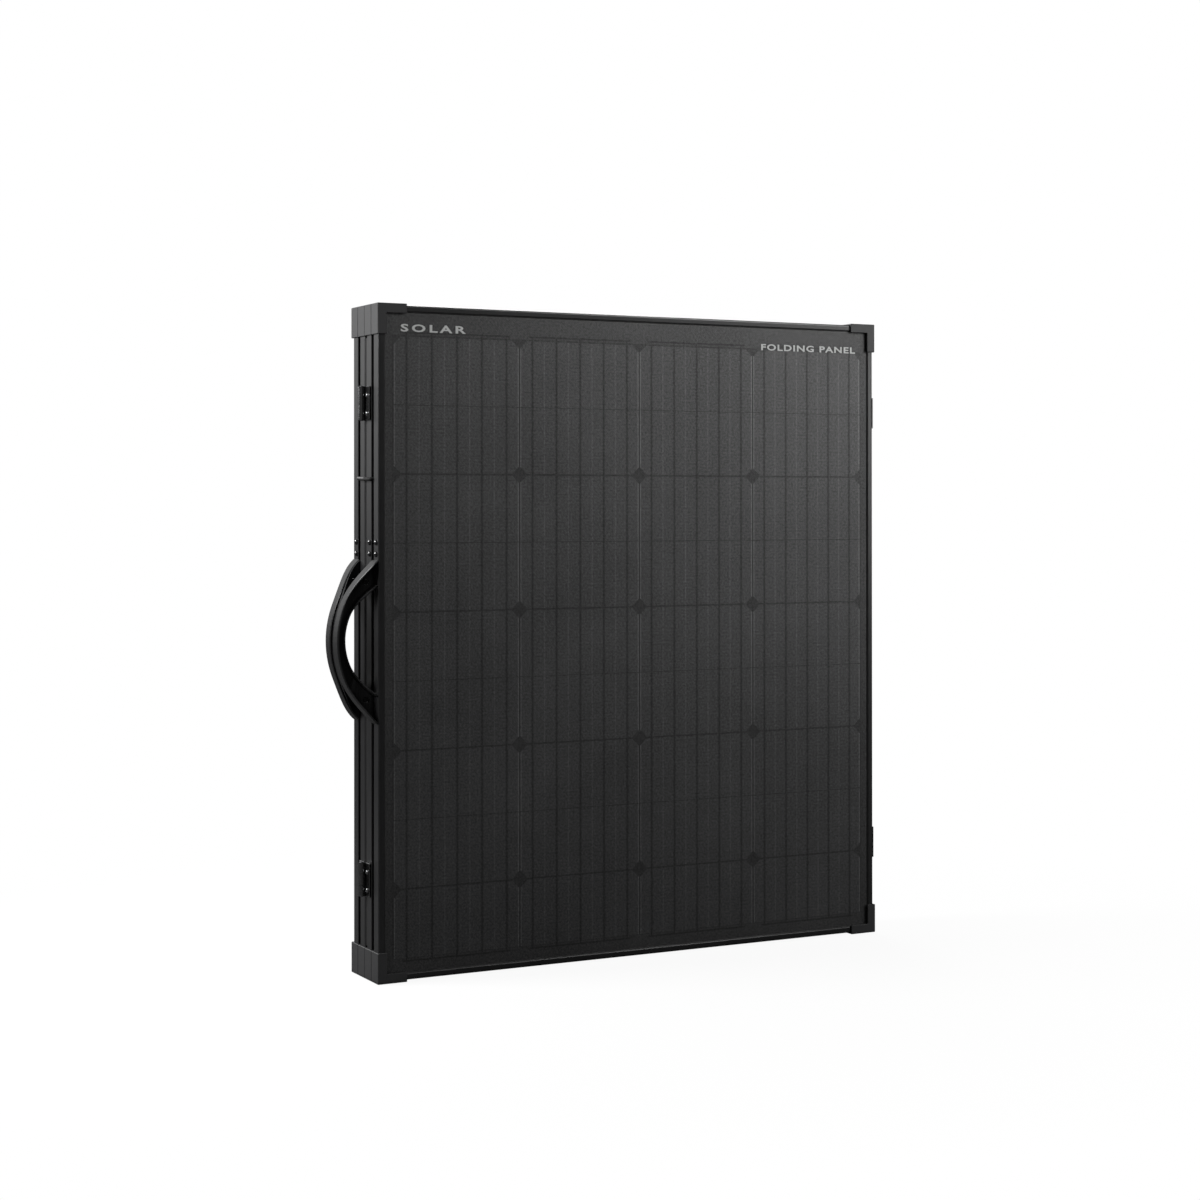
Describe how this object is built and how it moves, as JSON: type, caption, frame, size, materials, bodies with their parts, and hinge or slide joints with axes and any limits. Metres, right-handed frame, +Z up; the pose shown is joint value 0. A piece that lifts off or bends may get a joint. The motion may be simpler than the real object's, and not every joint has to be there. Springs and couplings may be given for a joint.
{
  "type": "folding solar panel",
  "caption": "Briefcase-style folding solar panel with framed leaves, corner caps, carrying handles and fold-out prop legs.",
  "frame": {"origin": "bottom centre of the folded stack's bounding box", "axes": "+Z up along the frame's long sides, +X across the width away from the handles, -Y out of the front leaf's cell face"},
  "size_m": [0.7228, 0.0892, 0.7836],
  "materials": {
    "frame": "satin black anodised or coated aluminium extrusion",
    "corner_cap": "moulded dark grey plastic",
    "laminate": "black cells under a finely textured plastic sheet",
    "junction_box": "moulded black plastic",
    "leg_bracket": "plain aluminium",
    "hinge": "dark coated steel",
    "handle": "moulded black plastic, half gloss",
    "leg": "plain aluminium with a plastic foot"
  },
  "bodies": {
    "leaf_1": {"leaf_1_rail_left": "frame", "leaf_1_rail_right": "frame", "leaf_1_rail_top": "frame", "leaf_1_rail_bottom": "frame", "leaf_1_cap_bottom_left": "corner_cap", "leaf_1_cap_top_left": "corner_cap", "leaf_1_cap_bottom_right": "corner_cap", "leaf_1_cap_top_right": "corner_cap", "leaf_1_laminate": "laminate", "leaf_1_junction_box": "junction_box", "leaf_1_leg_bracket": "leg_bracket", "hinge_12_bottom_pinned": "hinge", "hinge_12_top_pinned": "hinge", "handle_front": "handle"},
    "leaf_2": {"leaf_2_rail_left": "frame", "leaf_2_rail_right": "frame", "leaf_2_rail_top": "frame", "leaf_2_rail_bottom": "frame", "leaf_2_cap_bottom_left": "corner_cap", "leaf_2_cap_top_left": "corner_cap", "leaf_2_cap_bottom_right": "corner_cap", "leaf_2_cap_top_right": "corner_cap", "leaf_2_laminate": "laminate", "leaf_2_junction_box": "junction_box", "leaf_2_leg_bracket": "leg_bracket", "hinge_12_bottom_sleeve": "hinge", "hinge_12_top_sleeve": "hinge", "hinge_23_bottom_pinned": "hinge", "hinge_23_top_pinned": "hinge"},
    "leaf_3": {"leaf_3_rail_left": "frame", "leaf_3_rail_right": "frame", "leaf_3_rail_top": "frame", "leaf_3_rail_bottom": "frame", "leaf_3_cap_bottom_left": "corner_cap", "leaf_3_cap_top_left": "corner_cap", "leaf_3_cap_bottom_right": "corner_cap", "leaf_3_cap_top_right": "corner_cap", "leaf_3_laminate": "laminate", "leaf_3_junction_box": "junction_box", "hinge_23_bottom_sleeve": "hinge", "hinge_23_top_sleeve": "hinge", "hinge_34_bottom_pinned": "hinge", "hinge_34_top_pinned": "hinge"},
    "leaf_4": {"leaf_4_rail_left": "frame", "leaf_4_rail_right": "frame", "leaf_4_rail_top": "frame", "leaf_4_rail_bottom": "frame", "leaf_4_cap_bottom_left": "corner_cap", "leaf_4_cap_top_left": "corner_cap", "leaf_4_cap_bottom_right": "corner_cap", "leaf_4_cap_top_right": "corner_cap", "leaf_4_laminate": "laminate", "leaf_4_junction_box": "junction_box", "leaf_4_leg_bracket": "leg_bracket", "hinge_34_bottom_sleeve": "hinge", "hinge_34_top_sleeve": "hinge", "handle_rear": "handle"},
    "leg_1": {"leg_1": "leg"},
    "leg_2": {"leg_2": "leg"},
    "leg_4": {"leg_4": "leg"}
  },
  "joints": [
    {"name": "fold_12", "type": "hinge", "parent": "leaf_1", "child": "leaf_2", "pos_m": [0.3567, -0.0224, 0.39], "axis": [0, 0, -1], "range_deg": [0, 180]},
    {"name": "fold_23", "type": "hinge", "parent": "leaf_2", "child": "leaf_3", "pos_m": [-0.3245, 0, 0.39], "axis": [0, 0, 1], "range_deg": [0, 180]},
    {"name": "fold_34", "type": "hinge", "parent": "leaf_3", "child": "leaf_4", "pos_m": [0.3567, 0.0224, 0.39], "axis": [0, 0, -1], "range_deg": [0, 180]},
    {"name": "leg_1_swing", "type": "hinge", "parent": "leaf_1", "child": "leg_1", "pos_m": [-0.2904, -0.0318, 0.5018], "axis": [1, 0, 0], "range_deg": [0, 54]},
    {"name": "leg_2_swing", "type": "hinge", "parent": "leaf_2", "child": "leg_2", "pos_m": [-0.2904, -0.013, 0.5018], "axis": [-1, 0, 0], "range_deg": [0, 54]},
    {"name": "leg_4_swing", "type": "hinge", "parent": "leaf_4", "child": "leg_4", "pos_m": [-0.2904, 0.0318, 0.5018], "axis": [-1, 0, 0], "range_deg": [0, 54]}
  ],
  "couplings": [
    {"joint": "fold_23", "follows": "fold_12", "ratio": 1},
    {"joint": "fold_34", "follows": "fold_12", "ratio": 1},
    {"joint": "leg_1_swing", "follows": "fold_12", "ratio": 0.3},
    {"joint": "leg_2_swing", "follows": "fold_12", "ratio": 0.3},
    {"joint": "leg_4_swing", "follows": "fold_12", "ratio": 0.3}
  ]
}
